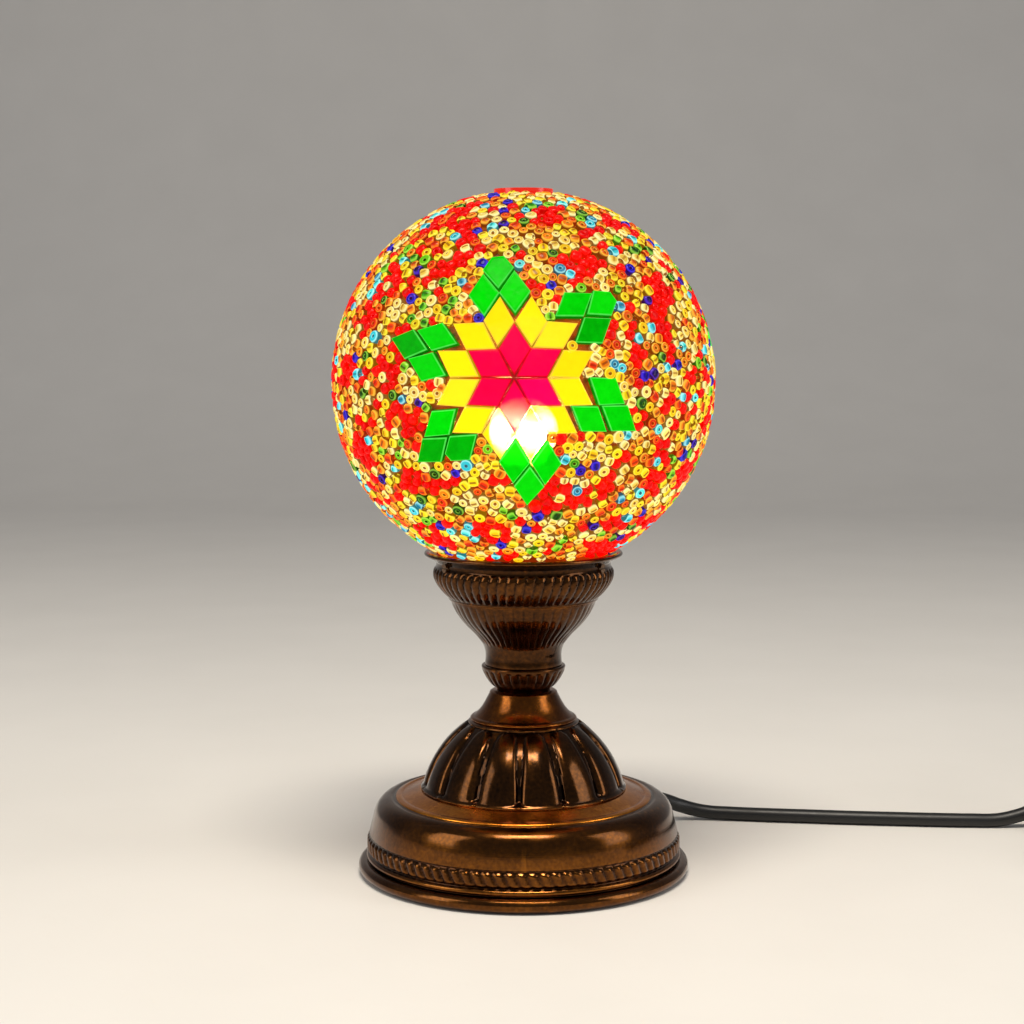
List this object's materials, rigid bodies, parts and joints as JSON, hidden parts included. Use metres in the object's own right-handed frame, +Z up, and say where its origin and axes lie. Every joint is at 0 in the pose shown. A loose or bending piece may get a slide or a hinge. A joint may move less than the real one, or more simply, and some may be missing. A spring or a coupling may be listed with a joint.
{
  "type": "mosaic glass table lamp",
  "caption": "Small table lamp: a beaded mosaic glass globe with star panels on a turned, fluted antique bronze foot, with a screw-in bulb, corded with an in-line rocker switch and plug.",
  "frame": {"origin": "on the lamp's vertical axis, at the underside of the felt pad", "axes": "+Z up the lamp's axis; the front, with the middle of a glass star, faces -Y; the cord leaves behind to +X"},
  "size_m": [0.3305, 0.1385, 0.2259],
  "materials": {
    "felt": "pressed felt",
    "zinc_steel": "zinc plated",
    "bronze": "antique bronze, glossy lacquer over dark patina",
    "cove_bronze": "antique brass, satin",
    "satin_bronze": "brushed antique bronze",
    "rubber": "matte",
    "pvc_black": "soft PVC",
    "wire_brown": "PVC core insulation",
    "wire_blue": "PVC core insulation",
    "phenolic": "moulded phenolic",
    "ceramic": "bisque",
    "contact_brass": "bright",
    "globe_glass": "blown, lightly frosted",
    "bead_glass": "glass seed beads set in clear amber grout",
    "tile_red": "hand-cut stained glass, lightly hammered",
    "tile_yellow": "hand-cut stained glass, lightly hammered",
    "tile_green": "hand-cut stained glass, lightly hammered",
    "bulb_glass": "lit",
    "cap_brass": "rolled thread",
    "black_glass": "glazed",
    "solder": "solder",
    "stem_glass": "clear",
    "tungsten": "hot wire",
    "tie_plastic": "strap",
    "switch_plastic": "fine spark texture",
    "rocker_plastic": "smooth",
    "plug_pvc": "moulded PVC",
    "pin_nickel": "nickel plated"
  },
  "bodies": {
    "base": {"felt_pad": "felt", "bottom_cover": "zinc_steel", "cover_screws": "zinc_steel", "base_drum": "bronze", "cove_ring": "cove_bronze", "fluted_dome": "bronze", "neck_cone": "satin_bronze", "collar": "bronze", "cup_bowl": "bronze", "gallery_ring": "bronze", "seat_gasket": "rubber", "threaded_rod": "zinc_steel", "rod_washers": "zinc_steel", "rod_nuts": "zinc_steel", "strain_relief": "pvc_black", "inner_lead": "pvc_black", "live_wire": "wire_brown", "neutral_wire": "wire_blue", "holder_cap": "phenolic", "holder_sleeve": "phenolic", "holder_insert": "ceramic", "holder_thread_shell": "contact_brass", "holder_contact": "contact_brass", "terminal_screws": "contact_brass", "cord_lead": "pvc_black", "cord_link": "pvc_black", "cord_coil": "pvc_black", "cord_tail": "pvc_black", "coil_tie": "tie_plastic", "switch_lower": "switch_plastic", "switch_upper": "switch_plastic", "switch_screws": "zinc_steel", "switch_contacts": "contact_brass", "plug_body": "plug_pvc", "plug_pins": "pin_nickel"},
    "globe": {"glass_globe": "globe_glass", "globe_neck": "globe_glass", "globe_mouth": "globe_glass", "bead_layer": "bead_glass", "tiles_red": "tile_red", "tiles_yellow": "tile_yellow", "tiles_green": "tile_green"},
    "bulb_rise": {"bulb_contact": "solder"},
    "bulb": {"bulb_cap": "cap_brass", "bulb_insulator": "black_glass", "bulb_glass": "bulb_glass", "bulb_stem": "stem_glass", "bulb_filament": "tungsten"},
    "grub_1": {"grub_screw_1": "bronze"},
    "grub_2": {"grub_screw_2": "bronze"},
    "grub_3": {"grub_screw_3": "bronze"},
    "rocker": {"switch_rocker": "rocker_plastic"}
  },
  "joints": [
    {"name": "globe_lift", "type": "slide", "parent": "base", "child": "globe", "axis": [0, 0, 1], "range_m": [0, 0.075]},
    {"name": "bulb_unscrew_rise", "type": "slide", "parent": "base", "child": "bulb_rise", "axis": [0, 0, 1], "range_m": [0, 0.0107]},
    {"name": "bulb_turn", "type": "hinge", "parent": "bulb_rise", "child": "bulb", "pos_m": [0, 0, 0.112], "axis": [0, 0, 1], "range_deg": [0, 1350]},
    {"name": "grub_1_slide", "type": "slide", "parent": "base", "child": "grub_1", "axis": [0, 1, 0], "range_m": [0, 0.002]},
    {"name": "grub_2_slide", "type": "slide", "parent": "base", "child": "grub_2", "axis": [-0.866, -0.5, 0], "range_m": [0, 0.002]},
    {"name": "grub_3_slide", "type": "slide", "parent": "base", "child": "grub_3", "axis": [0.866, -0.5, 0], "range_m": [0, 0.002]},
    {"name": "rocker_tilt", "type": "hinge", "parent": "base", "child": "rocker", "pos_m": [0.217, 0.054, 0.0104], "axis": [0, -1, 0], "range_deg": [0, 20]}
  ],
  "couplings": [
    {"joint": "bulb_unscrew_rise", "follows": "bulb_turn", "m_per_rad": 0.00044882}
  ]
}
